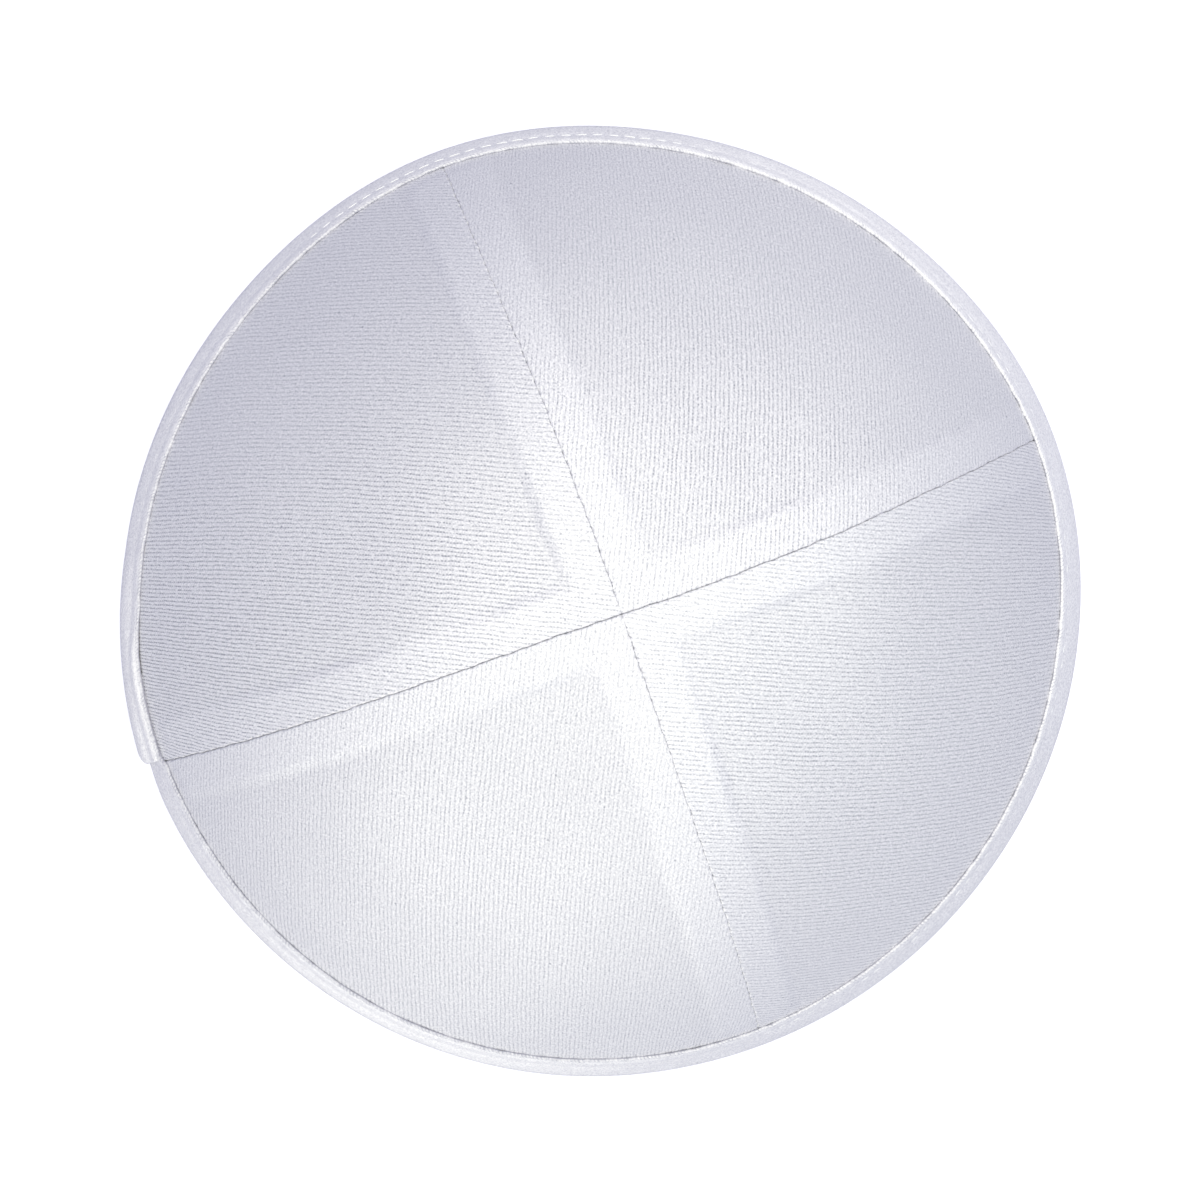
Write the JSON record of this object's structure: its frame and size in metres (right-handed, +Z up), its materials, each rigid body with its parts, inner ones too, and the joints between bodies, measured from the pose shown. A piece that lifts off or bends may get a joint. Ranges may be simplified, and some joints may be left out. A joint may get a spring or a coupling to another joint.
{
  "type": "kippah skullcap",
  "caption": "Round white satin skullcap: a low dome of gored panels with pressed seams, bound round its rim with a folded tape whose ends lap at one seam.",
  "frame": {"origin": "on the surface the cap rests on, at the middle of its rim", "axes": "+Z up through the crown, -Y towards the cap's front, +X to its right; the tape's lap is at the left seam, 200 degrees round from +X"},
  "size_m": [0.1709, 0.1689, 0.0541],
  "materials": {
    "crown_satin": "white satin twill with fine raised lines",
    "binding_satin": "smooth white satin tape, topstitched"
  },
  "bodies": {
    "root": {"crown_panel_back_right": "crown_satin", "crown_panel_back_left": "crown_satin", "crown_panel_front_left": "crown_satin", "crown_panel_front_right": "crown_satin", "rim_binding": "binding_satin"}
  },
  "joints": []
}
